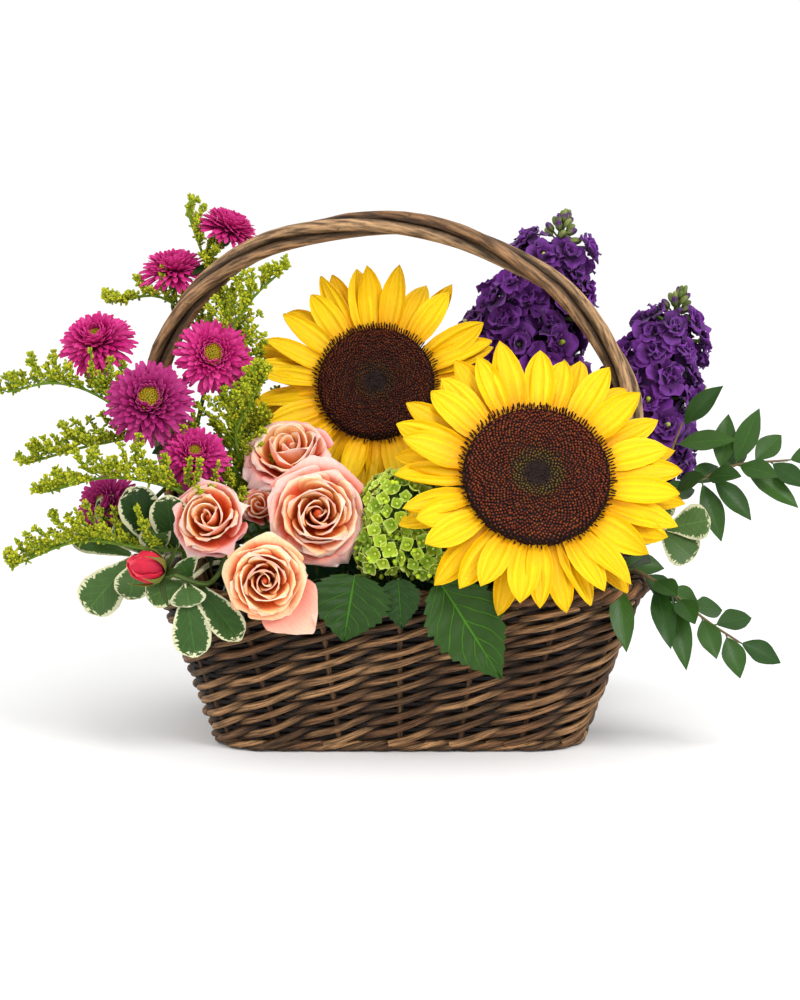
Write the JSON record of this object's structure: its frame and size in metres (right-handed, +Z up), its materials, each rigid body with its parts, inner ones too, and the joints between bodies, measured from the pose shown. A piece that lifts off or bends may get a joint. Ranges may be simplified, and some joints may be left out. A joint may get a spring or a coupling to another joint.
{
  "type": "flower basket arrangement",
  "caption": "Oblong dark willow basket with a twisted arched handle, filled with sunflowers, spray roses, asters, stocks, green hydrangea, goldenrod and mixed foliage standing in wet foam.",
  "frame": {"origin": "middle of the flat underside of the woven basket, on the surface that it stands on", "axes": "+X along the basket to the right as seen from the front, -Y towards the front, +Z up"},
  "size_m": [0.4751, 0.2564, 0.3039],
  "materials": {
    "willow": "dark stained willow, satin",
    "willow_handle": "brown peeled willow, satin",
    "liner": "dark moulded plastic",
    "foam": "matte wet floral foam",
    "sunflower_petal": "soft yellow petal",
    "sunflower_disc": "matte brown florets",
    "rose_petal": "peach to pink petal",
    "bud_petal": "deep pink petal",
    "aster_petal": "magenta petal",
    "aster_centre": "matte yellow florets",
    "hydrangea_floret": "lime green petal",
    "stock_petal": "violet petal",
    "stem": "green stem",
    "leaf": "dark green leaf, slightly glossy",
    "goldenrod": "yellow-green buds",
    "variegated_leaf": "green leaf with a cream margin"
  },
  "bodies": {
    "root": {"basket_body": "willow", "basket_rim": "willow_handle", "basket_foot": "willow", "basket_handle": "willow_handle", "liner": "liner", "floral_foam": "foam", "sunflower_front_petals": "sunflower_petal", "sunflower_front_disc": "sunflower_disc", "sunflower_front_stem": "stem", "sunflower_back_petals": "sunflower_petal", "sunflower_back_disc": "sunflower_disc", "sunflower_back_stem": "stem", "rose_1": "rose_petal", "rose_2": "rose_petal", "rose_3": "rose_petal", "rose_4": "rose_petal", "rose_5": "rose_petal", "rose_bud": "bud_petal", "rose_stem_1": "stem", "rose_stem_2": "stem", "aster_1_petals": "aster_petal", "aster_1_centre": "aster_centre", "aster_2_petals": "aster_petal", "aster_2_centre": "aster_centre", "aster_3_petals": "aster_petal", "aster_3_centre": "aster_centre", "aster_4_petals": "aster_petal", "aster_4_centre": "aster_centre", "aster_5_petals": "aster_petal", "aster_5_centre": "aster_centre", "aster_6_petals": "aster_petal", "aster_6_centre": "aster_centre", "aster_7_petals": "aster_petal", "aster_7_centre": "aster_centre", "aster_stem_1": "stem", "aster_stem_2": "stem", "hydrangea_florets": "hydrangea_floret", "hydrangea_stem": "leaf", "stock_1_flowers": "stock_petal", "stock_1_stem": "stem", "stock_2_flowers": "stock_petal", "stock_2_stem": "stem", "goldenrod_1": "goldenrod", "goldenrod_2": "goldenrod", "goldenrod_3": "goldenrod", "goldenrod_4": "goldenrod", "goldenrod_5": "goldenrod", "goldenrod_6": "goldenrod", "goldenrod_7": "goldenrod", "goldenrod_8": "goldenrod", "myrtle_1": "leaf", "myrtle_2": "leaf", "pittosporum_1": "variegated_leaf", "pittosporum_2": "variegated_leaf", "pittosporum_3": "variegated_leaf", "pittosporum_4": "variegated_leaf", "pittosporum_5": "variegated_leaf"}
  },
  "joints": []
}
